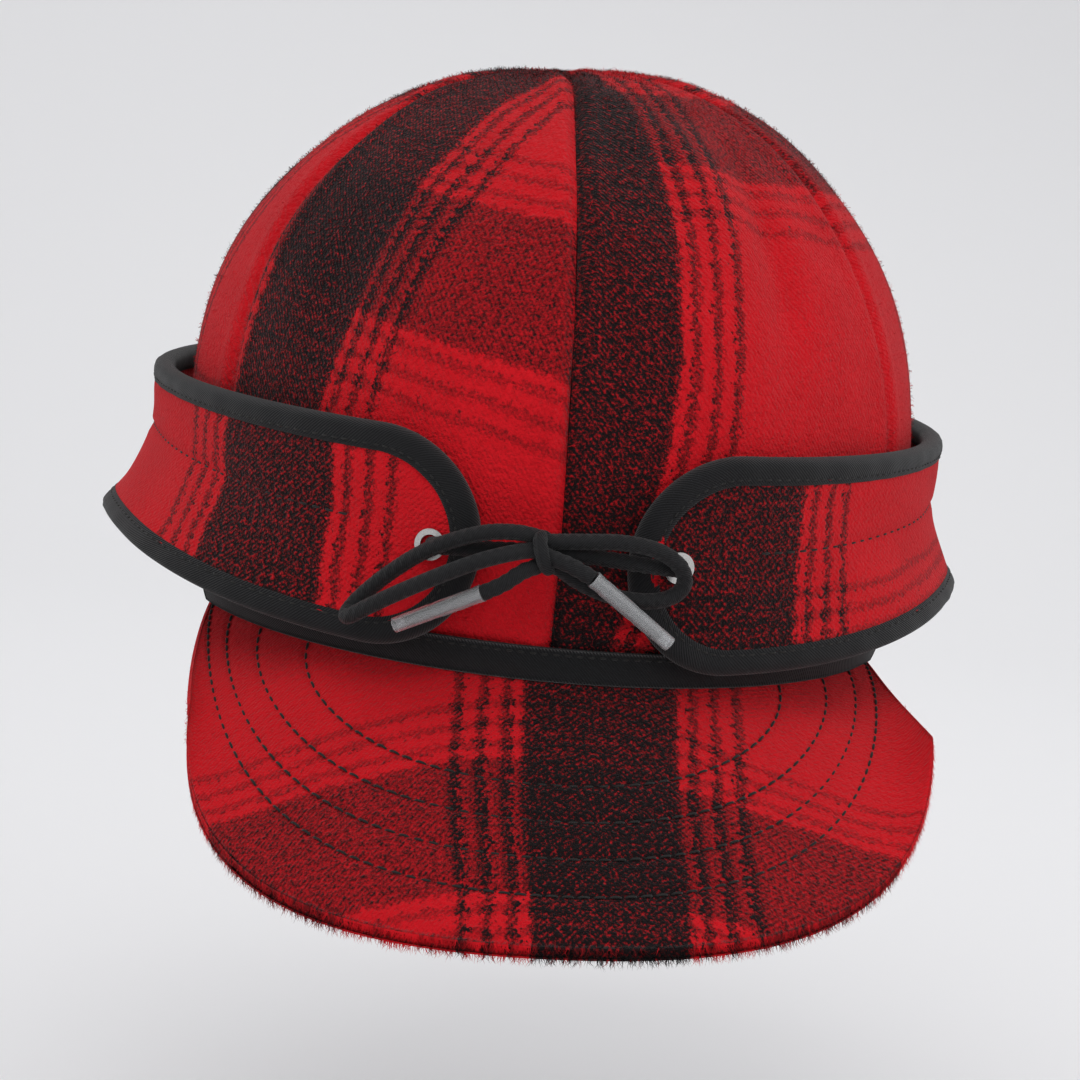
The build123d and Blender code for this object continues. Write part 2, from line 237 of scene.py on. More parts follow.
def shell(name, point, rows, columns, layers=4):
    """A closed sheet of cloth with rounded edges.

    point(u, v, depth) gives places and cloth coordinates; depth 0 is the face, 1 is the back.
    """
    u, v = np.meshgrid(np.linspace(0, 1, rows), np.linspace(0, 1, columns), indexing="ij")
    face, cloth = point(u, v, 0.0)
    back, _ = point(u, v, 1.0)
    rim = [(i, 0) for i in range(rows - 1)] + [(rows - 1, j) for j in range(columns - 1)]
    rim += [(i, columns - 1) for i in range(rows - 1, 0, -1)] + [(0, j) for j in range(columns - 1, 0, -1)]
    rim_index = np.array([i * columns + j for i, j in rim])
    points = [face.reshape(-1, 3), back.reshape(-1, 3)]
    uvs = [cloth.reshape(-1, 2), cloth.reshape(-1, 2)]
    count = rows * columns
    faces = grid_faces(rows, columns) + grid_faces(rows, columns, count, flip=True)
    outer, inner = points[0][rim_index], points[1][rim_index]
    centre_ring = (outer + inner) / 2
    ahead, behind = np.roll(centre_ring, -1, axis=0), np.roll(centre_ring, 1, axis=0)
    side_way = np.cross(ahead - behind, inner - outer)
    side_way /= np.linalg.norm(side_way, axis=1)[:, None] + 1e-9
    inside = face.reshape(-1, 3)[rim_index] - face.reshape(-1, 3).mean(axis=0)
    if (side_way * inside).sum() < 0:
        side_way = -side_way
    thickness = np.linalg.norm(inner - outer, axis=1)[:, None]
    rings = [rim_index]
    for step in range(1, layers):
        share = step / layers
        ring = outer + (inner - outer) * share + side_way * thickness * 0.35 * math.sin(PI * share)
        rings.append(np.arange(len(rim)) + sum(len(p) for p in points))
        points.append(ring)
        uvs.append(uvs[0][rim_index])
    rings.append(rim_index + count)
    for low, high in zip(rings, rings[1:]):
        for i in range(len(rim)):
            j = (i + 1) % len(rim)
            faces.append((low[j], low[i], high[i], high[j]))
    piece = mesh_object(name, np.concatenate(points), faces, np.concatenate(uvs))
    return piece, face, cloth


def tube(name, path, radius, sides=16, braid=0.0, caps=True):
    """A round tube along a path in millimetres; braid raises crossing strands on it."""
    path = np.asarray(path, dtype=float)
    tangents = np.gradient(path, axis=0)
    tangents /= np.linalg.norm(tangents, axis=1)[:, None]
    lengths = np.concatenate([[0], np.cumsum(np.linalg.norm(np.diff(path, axis=0), axis=1))])
    side_way = np.cross(tangents[0], (0.2, 0.1, 1.0))
    points, uvs = [], []
    radius = np.broadcast_to(radius, len(path))
    turn = np.arange(sides) / sides * 2 * PI
    for place, tangent, length, size in zip(path, tangents, lengths, radius):
        side_way = side_way - tangent * side_way.dot(tangent)
        side_way /= np.linalg.norm(side_way)
        other = np.cross(tangent, side_way)
        strands = np.maximum(np.sin(4 * turn + length * 2.6), np.sin(4 * turn - length * 2.6 + PI / 2))
        reach = size * (1 + braid * (strands - 0.6))
        ring = np.outer(np.cos(turn) * reach, side_way) + np.outer(np.sin(turn) * reach, other)
        points.append(place + ring)
        uvs.append(np.stack([turn * size, np.full(sides, length)], -1))
    count = len(path) * sides
    points, uvs = np.concatenate(points), np.concatenate(uvs)
    faces = grid_faces(len(path), sides, wrap=True)
    if caps:
        points = np.concatenate([points, path[:1], path[-1:]])
        uvs = np.concatenate([uvs, [[0, 0], [0, lengths[-1]]]])
        last = count - sides
        for i in range(sides):
            j = (i + 1) % sides
            faces.append((count, j, i))
            faces.append((count + 1, last + i, last + j))
    return mesh_object(name, points, faces, uvs)


def fibres(name, face, cloth, count, length, seed, lift=0.5, rim_share=0.0):
    """Fine loose wool fibres standing on a grid of surface points."""
    rng = np.random.default_rng(seed)
    rows, columns = face.shape[:2]
    i = rng.random(count) * (rows - 1.001)
    j = rng.random(count) * (columns - 1.001)
    edge = rng.random(count) < rim_share
    j = np.where(edge, columns - 1.002, j)
    a, b = i.astype(int), j.astype(int)
    s, t = (i - a)[:, None], (j - b)[:, None]

    def blend(grid):
        low = grid[a, b] * (1 - s) + grid[a + 1, b] * s
        high = grid[a, b + 1] * (1 - s) + grid[a + 1, b + 1] * s
        return low * (1 - t) + high * t

    root, uv = blend(face), blend(cloth)
    across = face[a + 1, b] - face[a, b]
    along = face[a, b + 1] - face[a, b]
    normal = np.cross(across, along)
    normal /= np.linalg.norm(normal, axis=1)[:, None] + 1e-9
    across /= np.linalg.norm(across, axis=1)[:, None] + 1e-9
    along /= np.linalg.norm(along, axis=1)[:, None] + 1e-9
    heading = rng.random(count)[:, None] * 2 * PI
    flat = across * np.cos(heading) + along * np.sin(heading)
    flat = np.where(edge[:, None], along + across * (rng.random(count)[:, None] - 0.5), flat)
    stand = (rng.random(count)[:, None] * lift + 0.1) * np.where(edge, 0.2, 1.0)[:, None]
    reach = length * (0.35 + rng.random(count)[:, None])
    width = 0.045 + 0.03 * rng.random(count)[:, None]
    side_way = np.cross(flat + normal * stand, normal)
    side_way /= np.linalg.norm(side_way, axis=1)[:, None] + 1e-9
    middle = root + (flat * 0.5 + normal * stand * 0.8) * reach
    tip = root + (flat + side_way * (rng.random(count)[:, None] - 0.5) + normal * stand * 0.9) * reach
    points = np.stack([root - side_way * width, root + side_way * width, middle - side_way * width * 0.8,
                       middle + side_way * width * 0.8, tip], 1).reshape(-1, 3)
    base = np.arange(count) * 5
    faces = [(k, k + 1, k + 3, k + 2) for k in base] + [(k + 2, k + 3, k + 4) for k in base]
    return mesh_object(name, points, faces, np.repeat(uv, 5, axis=0), smooth=False)


def stitches(name, place, ends, count, radius=0.24, fill=0.72, sunk=0.0):
    """A row of separate thread stitches; place(t) gives points on the cloth for t from 0 to 1."""
    points, faces = [], []
    sides = 6
    for index in range(count):
        start = ends[0] + (ends[1] - ends[0]) * (index + 0.5 - fill / 2) / count
        stop = ends[0] + (ends[1] - ends[0]) * (index + 0.5 + fill / 2) / count
        t = np.linspace(start, stop, 5)
        path, normal = place(t)
        dip = np.array([-0.25, 0.1, 0.16, 0.1, -0.25])[:, None]
        path = path + normal * (dip - sunk)
        tangents = np.gradient(path, axis=0)
        tangents /= np.linalg.norm(tangents, axis=1)[:, None]
        side_way = np.cross(tangents, normal)
        side_way /= np.linalg.norm(side_way, axis=1)[:, None]
        up = np.cross(side_way, tangents)
        base = len(points)
        for k in range(5):
            size = radius * (0.7 if k in (0, 4) else 1.0)
            for m in range(sides):
                turn = m / sides * 2 * PI
                points.append(path[k] + side_way[k] * math.cos(turn) * size + up[k] * math.sin(turn) * size)
        faces += grid_faces(5, sides, start=base, wrap=True)
        faces.append(tuple(base + m for m in range(sides))[::-1])
        faces.append(tuple(base + 4 * sides + m for m in range(sides)))
    return mesh_object(name, np.array(points), faces, np.zeros((len(points), 2)))


def surface_row(surface, probe=0.4):
    """Turns surface(t, offset) into a row of places with the cloth's normals."""
    def place(t):
        here = surface(t, 0.0)
        normal = surface(t, probe) - here
        return here, normal / np.linalg.norm(normal, axis=1)[:, None]

    return place


# ------------------------------------------------------------------ materials
class Nodes:
    """Short ways to add and link nodes in one tree."""

    def __init__(self, tree):
        self.tree = tree

    def add(self, kind, **values):
        node = self.tree.nodes.new(kind)
        for key, value in values.items():
            setattr(node, key, value)
        return node

    def put(self, value, socket):
        if isinstance(value, bpy.types.NodeSocket):
            self.tree.links.new(value, socket)
        else:
            socket.default_value = value

    def math(self, operation, *values, clamp=False):
        node = self.add("ShaderNodeMath", operation=operation, use_clamp=clamp)
        for value, socket in zip(values, node.inputs):
            self.put(value, socket)
        return node.outputs[0]

    def step(self, value, low, high):
        node = self.add("ShaderNodeMapRange", interpolation_type="SMOOTHSTEP")
        self.put(value, node.inputs["Value"])
        self.put(low, node.inputs["From Min"])
        self.put(high, node.inputs["From Max"])
        return node.outputs[0]

    def noise(self, vector, scale, detail=2.0, roughness=0.5):
        node = self.add("ShaderNodeTexNoise")
        self.put(vector, node.inputs["Vector"])
        node.inputs["Scale"].default_value = scale
        node.inputs["Detail"].default_value = detail
        node.inputs["Roughness"].default_value = roughness
        return node.outputs["Fac"]

    def mix(self, factor, first, second):
        node = self.add("ShaderNodeMix", data_type="RGBA")
        self.put(factor, node.inputs["Factor"])
        self.put(first, node.inputs[6])
        self.put(second, node.inputs[7])
        return node.outputs[2]


def new_group(name, inputs, outputs):
    tree = bpy.data.node_groups.new(name, "ShaderNodeTree")
    for label, kind, value in inputs:
        socket = tree.interface.new_socket(label, in_out="INPUT", socket_type=kind)
        if value is not None:
            socket.default_value = value
    for label, kind in outputs:
        tree.interface.new_socket(label, in_out="OUTPUT", socket_type=kind)
    nodes = Nodes(tree)
    return nodes, nodes.add("NodeGroupInput").outputs, nodes.add("NodeGroupOutput").inputs, tree


def stripe_darkness(nodes, coordinate, wobble, repeat, band, pins):
    """How black one set of yarns is: a wide band with three thin stripes on each side."""
    wrapped = nodes.math("WRAP", coordinate, repeat / 2, -repeat / 2)
    reach = nodes.math("ADD", nodes.math("ABSOLUTE", wrapped), wobble)
    wide = nodes.math("SUBTRACT", 1.0, nodes.step(reach, 0.0162, 0.0182))
    phase = nodes.math("MULTIPLY", nodes.math("SUBTRACT", reach, 0.0206), 2 * PI / 0.0054)
    pin = nodes.step(nodes.math("COSINE", phase), -0.5, 0.8)
    window = nodes.math("MULTIPLY", nodes.step(reach, 0.0182, 0.0190),
                        nodes.math("SUBTRACT", 1.0, nodes.step(reach, 0.0330, 0.0338)))
    thin = nodes.math("MULTIPLY", nodes.math("MULTIPLY", pin, window), pins)
    return nodes.math("ADD", nodes.math("MULTIPLY", wide, band), thin)


def plaid_group(settings):
    """Woven wool plaid: colour and nap height from the cloth's own coordinates in metres."""
    nodes, given, out, tree = new_group(
        "Napped Plaid",
        [("Cloth", "NodeSocketVector", None), ("Red", "NodeSocketColor", (*settings.wool_red, 1)),
         ("Black", "NodeSocketColor", (*settings.wool_black, 1))],
        [("Color", "NodeSocketColor"), ("Height", "NodeSocketFloat")])
    split = nodes.add("ShaderNodeSeparateXYZ")
    nodes.put(given["Cloth"], split.inputs[0])
    fine = nodes.noise(given["Cloth"], 700.0, 3.0, 0.6)
    speck = nodes.noise(given["Cloth"], 1500.0, 2.0, 0.7)
    slow = nodes.noise(given["Cloth"], 45.0, 2.0)
    wobble = nodes.math("ADD", nodes.math("MULTIPLY", nodes.math("SUBTRACT", fine, 0.5), 0.0075),
                        nodes.math("MULTIPLY", nodes.math("SUBTRACT", slow, 0.5), 0.0030))
    warp = stripe_darkness(nodes, split.outputs[0], wobble, 0.150, 0.78, 0.58)
    weft = stripe_darkness(nodes, split.outputs[1], wobble, 0.150, 0.56, 0.42)
    light = nodes.math("MULTIPLY", nodes.math("SUBTRACT", 1.0, warp), nodes.math("SUBTRACT", 1.0, weft))
    dark = nodes.math("SUBTRACT", 1.0, light)
    twill_way = nodes.math("ADD", split.outputs[0], split.outputs[1])
    twill = nodes.math("SINE", nodes.math("MULTIPLY", twill_way, 2 * PI / settings.twill_pitch))
    loose = nodes.math("MULTIPLY", nodes.math("SUBTRACT", speck, 0.5), 1.9)
    loose = nodes.math("ADD", loose, nodes.math("MULTIPLY", nodes.math("SUBTRACT", fine, 0.5), 1.6))
    loose = nodes.math("ADD", loose, nodes.math("MULTIPLY", twill, 0.10))
    amount = nodes.step(nodes.math("ADD", dark, nodes.math("MULTIPLY", loose, dark)), 0.12, 0.88)
    shade = nodes.math("ADD", 0.72, nodes.math("MULTIPLY", nodes.math("ADD", fine, slow), 0.28))
    red = nodes.add("ShaderNodeVectorMath", operation="SCALE")
    nodes.put(given["Red"], red.inputs[0])
    nodes.put(shade, red.inputs["Scale"])
    nodes.put(nodes.mix(amount, red.outputs[0], given["Black"]), out["Color"])
    height = nodes.math("ADD", nodes.math("MULTIPLY", speck, 0.5), fine)
    nodes.put(nodes.math("ADD", height, nodes.math("MULTIPLY", twill, 0.05)), out["Height"])
    return tree


def twill_group():
    """Fine diagonal weave for tape and bands: a painted highlight along the raised twill lines, and random
    lighter flecks.
    """
    nodes, given, out, tree = new_group(
        "Cotton Twill",
        [("Cloth", "NodeSocketVector", None), ("Yarn", "NodeSocketColor", (0.01, 0.01, 0.01, 1)),
         ("Highlight and Fleck", "NodeSocketColor", (0.03, 0.03, 0.03, 1)), ("Pitch", "NodeSocketFloat", 0.0007)],
        [("Color", "NodeSocketColor"), ("Height", "NodeSocketFloat")])
    split = nodes.add("ShaderNodeSeparateXYZ")
    nodes.put(given["Cloth"], split.inputs[0])
    way = nodes.math("DIVIDE", nodes.math("ADD", split.outputs[0], split.outputs[1]), given["Pitch"])
    wave = nodes.math("SINE", nodes.math("MULTIPLY", way, 2 * PI))
    grain = nodes.noise(given["Cloth"], 1800.0, 2.0)
    slow = nodes.noise(given["Cloth"], 60.0, 2.0)
    # painted highlight: the twill lines are lightened towards the second colour, with random lighter flecks
    # from the grain noise
    amount = nodes.math("ADD", nodes.math("MULTIPLY", wave, 0.25), nodes.math("MULTIPLY", grain, 0.5))
    amount = nodes.math("MULTIPLY", amount, nodes.math("ADD", slow, 0.4), clamp=True)
    nodes.put(nodes.mix(amount, given["Yarn"], given["Highlight and Fleck"]), out["Color"])
    nodes.put(nodes.math("ADD", wave, grain), out["Height"])
    return tree


def cloth_material(name, tree, bump, distance, sheen, inputs=(), roughness=0.95):
    """A Principled cloth whose colour and bump come from a weave group."""
    material = bpy.data.materials.new(name)
    material.use_nodes = True
    nodes = Nodes(material.node_tree)
    shader = material.node_tree.nodes["Principled BSDF"]
    weave = nodes.add("ShaderNodeGroup", node_tree=tree)
    uv = nodes.add("ShaderNodeUVMap", uv_map="Cloth")
    nodes.put(uv.outputs[0], weave.inputs["Cloth"])
    for label, value in inputs:
        weave.inputs[label].default_value = value
    relief = nodes.add("ShaderNodeBump")
    relief.inputs["Strength"].default_value = bump
    relief.inputs["Distance"].default_value = distance
    nodes.put(weave.outputs["Height"], relief.inputs["Height"])
    nodes.put(relief.outputs[0], shader.inputs["Normal"])
    nodes.put(weave.outputs["Color"], shader.inputs["Base Color"])
    shader.inputs["Roughness"].default_value = roughness
    shader.inputs["Specular IOR Level"].default_value = 0.1
    shader.inputs["Sheen Weight"].default_value = sheen
    shader.inputs["Sheen Roughness"].default_value = 0.5
    return material


def grained_material(name, base, worn, scale, roughness, metallic=0.0):
    """A hard or smooth finish with fine wear from object coordinates."""
    material = bpy.data.materials.new(name)
    material.use_nodes = True
    nodes = Nodes(material.node_tree)
    shader = material.node_tree.nodes["Principled BSDF"]
    place = nodes.add("ShaderNodeTexCoord")
    grain = nodes.noise(place.outputs["Object"], scale, 3.0)
    nodes.put(nodes.mix(grain, (*base, 1), (*worn, 1)), shader.inputs["Base Color"])
    rough = nodes.math("ADD", roughness, nodes.math("MULTIPLY", nodes.math("SUBTRACT", grain, 0.5), 0.3))
    nodes.put(rough, shader.inputs["Roughness"])
    shader.inputs["Metallic"].default_value = metallic
    relief = nodes.add("ShaderNodeBump")
    relief.inputs["Strength"].default_value = 0.15
    relief.inputs["Distance"].default_value = 0.0001
    nodes.put(grain, relief.inputs["Height"])
    nodes.put(relief.outputs[0], shader.inputs["Normal"])
    return material


def material_of(name):
    return bpy.data.materials[name]


def make_materials(settings):
    plaid, twill = plaid_group(settings), twill_group()
    cloth_material("Plaid Wool", plaid, 1.0, 0.0011, 0.06)
    # the second twill colour of each cloth below is a painted highlight along its twill lines, also used for
    # random lighter flecks
    tape = [("Yarn", (*settings.tape_black, 1)), ("Highlight and Fleck", (0.022, 0.022, 0.024, 1)), ("Pitch", 0.0008)]
    cloth_material("Edge Tape Twill", twill, 0.5, 0.00012, 0.15, tape, 0.8)
    lining = [("Yarn", (0.006, 0.006, 0.007, 1)), ("Highlight and Fleck", (0.02, 0.02, 0.022, 1)), ("Pitch", 0.0005)]
    cloth_material("Lining Cotton", twill, 0.3, 0.0001, 0.1, lining, 0.7)
    thread = [("Yarn", (0.010, 0.009, 0.009, 1)), ("Highlight and Fleck", (0.045, 0.045, 0.042, 1)), ("Pitch", 0.0003)]
    cloth_material("Dark Thread", twill, 0.3, 0.00005, 0.1, thread, 0.6)
    cord = [("Yarn", (0.005, 0.005, 0.0055, 1)), ("Highlight and Fleck", (0.03, 0.03, 0.032, 1)), ("Pitch", 0.0006)]
    cloth_material("Braided Cord", twill, 0.5, 0.00012, 0.1, cord, 0.55)
    grained_material("Nickel Plate", (0.62, 0.62, 0.61), (0.42, 0.41, 0.40), 900.0, 0.28, 1.0)
    grained_material("Visor Board", (0.62, 0.60, 0.55), (0.5, 0.48, 0.44), 300.0, 0.7)
    film = grained_material("Clear Aglet Film", (0.9, 0.91, 0.92), (0.8, 0.81, 0.83), 40.0, 0.1)
    shader = film.node_tree.nodes["Principled BSDF"]
    shader.inputs["Transmission Weight"].default_value = 0.85
    shader.inputs["IOR"].default_value = 1.49


def finish(piece, material, body="cap"):
    piece.data.materials.append(material_of(material))
    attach(piece, body)
    return piece


def blend_band(piece, material):
    """Gives a piece of the band its material and bakes its transform, leaving it without a body."""
    piece.data.materials.append(material_of(material))
    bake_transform(piece)
    return piece


# ------------------------------------------------------------------ settings
class CapSettings(bpy.types.PropertyGroup):
    wool_red: bpy.props.FloatVectorProperty(
        name="Wool Red", description="Colour of the plaid's ground", subtype="COLOR", size=3,
        min=0, max=1, default=(0.56, 0.006, 0.012))
    wool_black: bpy.props.FloatVectorProperty(
        name="Wool Black", description="Colour of the plaid's dark yarns", subtype="COLOR", size=3,
        min=0, max=1, default=(0.006, 0.0035, 0.004))
    tape_black: bpy.props.FloatVectorProperty(
        name="Tape Black", description="Colour of the edge tape", subtype="COLOR", size=3,
        min=0, max=1, default=(0.005, 0.005, 0.0055))
    twill_pitch: bpy.props.FloatProperty(
        name="Twill Pitch", description="Distance between the wool's twill lines", unit="LENGTH",
        default=0.0014, min=0.0003, max=0.01)
    cord_diameter: bpy.props.FloatProperty(
        name="Cord Diameter", description="Thickness of the braided cord", unit="LENGTH",
        default=0.0035, min=0.001, max=0.01)
    fibre_length: bpy.props.FloatProperty(
        name="Fibre Length", description="Length of the loose wool fibres", unit="LENGTH",
        default=0.0016, min=0.0002, max=0.01)


# ------------------------------------------------------------------ camera, cords and lacing
def add_camera():
    distance, azimuth, elevation, roll = 0.8, math.radians(-2.438), math.radians(5.92), math.radians(5.672)
    aim = Vector((0, 0, 0.049))
    back = Vector((math.sin(azimuth) * math.cos(elevation), -math.cos(azimuth) * math.cos(elevation),
                   math.sin(elevation)))
    right = Vector((math.cos(azimuth), math.sin(azimuth), 0))
    up = back.cross(right)
    right, up = right * math.cos(roll) + up * math.sin(roll), up * math.cos(roll) - right * math.sin(roll)
    look = (-back - right * 0.00459 - up * 0.04271).normalized()
    side = look.cross(up).normalized()
    top = side.cross(look)
    camera = bpy.data.objects.new("camera", bpy.data.cameras.new("camera"))
    turn = Matrix((side, top, -look)).transposed().to_4x4()
    camera.matrix_world = Matrix.Translation(aim + back * distance) @ turn
    camera.data.lens = 106.5
    camera.data.sensor_width = 36.0
    camera.data.clip_end = 20.0
    bpy.context.scene.collection.objects.link(camera)
    bpy.context.scene.camera = camera


def spline_points(name, route):
    """The smooth line that a route's points control, read back as many points in millimetres."""
    curve = bpy.data.curves.new(name, "CURVE")
    curve.dimensions = "3D"
    curve.resolution_u = 24
    spline = curve.splines.new("NURBS")
    spline.points.add(len(route) - 1)
    for point, place in zip(spline.points, route):
        point.co = (*(c * MM for c in place), 1.0)
    spline.order_u = 3
    spline.use_endpoint_u = True
    holder = bpy.data.objects.new(name, curve)
    line = bpy.data.meshes.new_from_object(holder)
    path = np.array([v.co[:] for v in line.vertices]) / MM
    bpy.data.objects.remove(holder)
    bpy.data.curves.remove(curve)
    bpy.data.meshes.remove(line)
    steps = np.linalg.norm(np.diff(path, axis=0), axis=1)
    way = np.concatenate([[0], np.cumsum(steps)])
    even = np.linspace(0, way[-1], int(way[-1] / 0.3))
    return np.stack([np.interp(even, way, path[:, k]) for k in range(3)], -1), way[-1]


def add_aglet(name, start, end):
    """A clear film sleeve crimped round the cord's tip, with the cord's core inside it."""
    start, end = np.array(start), np.array(end)
    path = start + (end - start) * np.linspace(0, 1, 60)[:, None]
    share = np.linspace(0, 1, 60)
    outer = 1.95 - 0.25 * share - 0.12 * bump_at(share, 0.1, 0.05) - 0.08 * bump_at(share, 0.55, 0.03)
    inner = outer - 0.28
    sleeve = tube(f"{name}_sleeve", path, outer, 24, caps=False)
    lining = tube(f"{name}_inner", path[::-1], inner[::-1], 24, caps=False)
    bpy.context.view_layer.update()
    points = [v.co[:] for v in sleeve.data.vertices] + [v.co[:] for v in lining.data.vertices]
    count = 60 * 24
    faces = grid_faces(60, 24, wrap=True)
    inner_points = np.array(points[count:]).reshape(60, 24, 3)[::-1]
    bpy.data.objects.remove(sleeve)
    bpy.data.objects.remove(lining)
    outer_points = np.array(points[:count]).reshape(60, 24, 3)
    shift = int(np.argmin(np.linalg.norm(inner_points[0] - outer_points[0, 0], axis=1)))
    turned = np.roll(inner_points, -shift, axis=1)
    if np.linalg.norm(turned[0, 6] - outer_points[0, 6]) > np.linalg.norm(turned[0, -6] - outer_points[0, 6]):
        turned = np.roll(turned[:, ::-1], 1, axis=1)
    faces += grid_faces(60, 24, start=count, flip=True, wrap=True)
    for i in range(24):
        j = (i + 1) % 24
        faces.append((j, i, count + i, count + j))
        far = 59 * 24
        faces.append((far + i, far + j, count + far + j, count + far + i))
    film = mesh_object(name, np.concatenate([outer_points, turned]).reshape(-1, 3) / MM, faces,
                       np.zeros((2 * count, 2)))
    core = tube(f"{name}_core", path[:52], 1.35 - 0.25 * share[:52], 16, braid=0.05)
    finish(film, "Clear Aglet Film")
    finish(core, "Braided Cord")
    return film, core


class CAP_OT_camera_and_cords(bpy.types.Operator):
    """Places the camera, then ties the two cords in a bow"""

    bl_idname = "cap.camera_and_cords"
    bl_label = "Camera and Cords"

    def execute(self, context):
        settings = context.scene.cap_settings
        make_materials(settings)
        add_camera()
        radius = settings.cord_diameter / 2 / MM
        wrap_turn = np.linspace(0, 2 * PI * 1.25, 90)
        wrap = np.stack([-3.9 + 0.9 * np.cos(wrap_turn + 1.0) + 0.5 * np.sin(wrap_turn / 1.25 - PI),
                         -119.2 + 2.6 * np.cos(wrap_turn), 29.2 + 3.3 * np.sin(wrap_turn)], -1)
        knot = tube("bow_knot", wrap, radius * 0.9, 16, braid=0.06)
        finish(knot, "Braided Cord")
        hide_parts("tie_knot")
        for side, route, end in (("left", CORD_LEFT, AGLET_LEFT_END), ("right", CORD_RIGHT, AGLET_RIGHT_END)):
            path, length = spline_points(f"route_{side}", route)
            cord = tube(f"tie_cord_{side}", path, radius, 20, braid=0.07)
            finish(cord, "Braided Cord")
            for stretch in ("lead", "loop", "tail"):
                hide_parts(f"tie_cord_{stretch}_{side}")
            film, core = add_aglet(f"aglet_film_{side}", route[-1], end)
            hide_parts(f"aglet_{side}")
        for name in ("eyelet_left", "eyelet_right", "eyelet_washer_left", "eyelet_washer_right"):
            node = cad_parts[name]
            node.data.materials.clear()
            node.data.materials.append(material_of("Nickel Plate"))
        return {"FINISHED"}


# ------------------------------------------------------------------ crown
def panel_surface(index, place):
    start = math.radians(60 * index)
    centre, slant, foot, weft = PANEL_PLAID[place]
    shares = np.linspace(0, 1, 400)
    middle = crown_point(np.full(400, start + math.radians(30)), shares, 0.0)
    climb = np.concatenate([[0], np.cumsum(np.linalg.norm(np.diff(middle, axis=0), axis=1))])
    angle_of_slant = math.atan(slant)

    def point(u, v, depth):
        share = 0.997 * v
        angle = start + math.radians(60) * u
        places = crown_point(angle, share, crown_relief(angle, share) - 2.2 * depth)
        girth = np.hypot(HALF_WIDTH * np.cos(angle), HALF_DEPTH * np.sin(angle)) * wall_radius(share)
        across = (u - 0.5) * math.radians(60) * girth - centre
        up = np.interp(share, shares, climb)
        cloth = np.stack([across * math.cos(angle_of_slant) - (up - foot) * math.sin(angle_of_slant),
                          across * math.sin(angle_of_slant) + (up - weft) * math.cos(angle_of_slant)], -1)
        return places, cloth

    return point


class CAP_OT_crown(bpy.types.Operator):
    """Sews the six wool panels, their seams and their nap"""

    bl_idname = "cap.crown"
    bl_label = "Crown Panels"

    def execute(self, context):
        fibre = context.scene.cap_settings.fibre_length / MM
        for index, place in enumerate(PANELS):
            piece, face, cloth = shell(f"wool_panel_{place}", panel_surface(index, place), 61, 90)
            finish(piece, "Plaid Wool")
            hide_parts(f"crown_panel_{place}")
            nap = fibres(f"wool_nap_{place}", face, cloth, 9000, fibre, 11 + index)
            finish(nap, "Plaid Wool")
        return {"FINISHED"}


class CAP_OT_lining(bpy.types.Operator):
    """Puts in the lining gores and the sweatband"""

    bl_idname = "cap.lining"
    bl_label = "Lining and Sweatband"

    def execute(self, context):
        for index, place in enumerate(PANELS):
            start = math.radians(60 * index)

            def point(u, v, depth):
                angle = start + math.radians(60) * u
                share = 0.02 + 0.972 * v
                slack = 0.5 * np.sin(26 * share + 5 * u) * np.sin(PI * u)
                offset = crown_relief(angle, share) * 0.5 - LINING_DEPTH + slack * 0.6 - 0.5 * depth
                places = crown_point(angle, share, offset)
                return places, np.stack([(u - 0.5) * 90 * wall_radius(share), share * 170], -1)

            piece, face, _ = shell(f"lining_{place}", point, 25, 60, 2)
            finish(piece, "Lining Cotton")
            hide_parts(f"lining_gore_{place}")

        def band(u, v, depth):
            angle = (2 * u - 1) * (PI - 0.003)
            wave = 0.25 * np.sin(angle * 31) * np.sin(PI * v)
            places = crown_point(angle, 0.11 * v, -4.1 + wave - 1.0 * depth)
            return places, np.stack([angle * 94, v * 32], -1)

        piece, face, _ = shell("sweatband_twill", band, 260, 14, 3)
        finish(piece, "Edge Tape Twill")
        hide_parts("sweatband")
        for number, share in enumerate((0.006, 0.104)):
            def row(t, offset):
                return crown_point((2 * t - 1) * PI, np.full_like(t, share), -5.2 - offset)

            seam = stitches(f"sweatband_stitches_{number + 1}", surface_row(row), (0.0, 1.0), 190)
            finish(seam, "Dark Thread")
        return {"FINISHED"}


# ------------------------------------------------------------------ visor
def visor_layer(outer, thickness, inset):
    def point(u, v, depth):
        across = (2 * u - 1) * (1 - inset)
        out = v * (1 - inset)
        waves = 0.35 * np.sin(9 * across + 4 * out) * np.sin(PI * out) if inset == 0 else 0.0
        quilt = 0.0
        if inset == 0:
            for across_end, out_end in VISOR_ROWS:
                reach = (np.abs(across) / across_end) ** 2.3 + (out / out_end) ** 2.3
                quilt = quilt - 0.45 * bump_at(reach ** (1 / 2.3), 1.0, 0.018)
            quilt = quilt * (1 if outer == 0 else -1)
        round_edge = -0.5 * thickness * np.maximum(0, (out - 0.97) / 0.03) ** 2 * (0.5 - depth) * 1.4
        places, x, run = visor_point(across, out, outer - thickness * depth + quilt + waves + round_edge)
        return places, np.stack([x - 12.0, run - 39.0], -1)

    return point


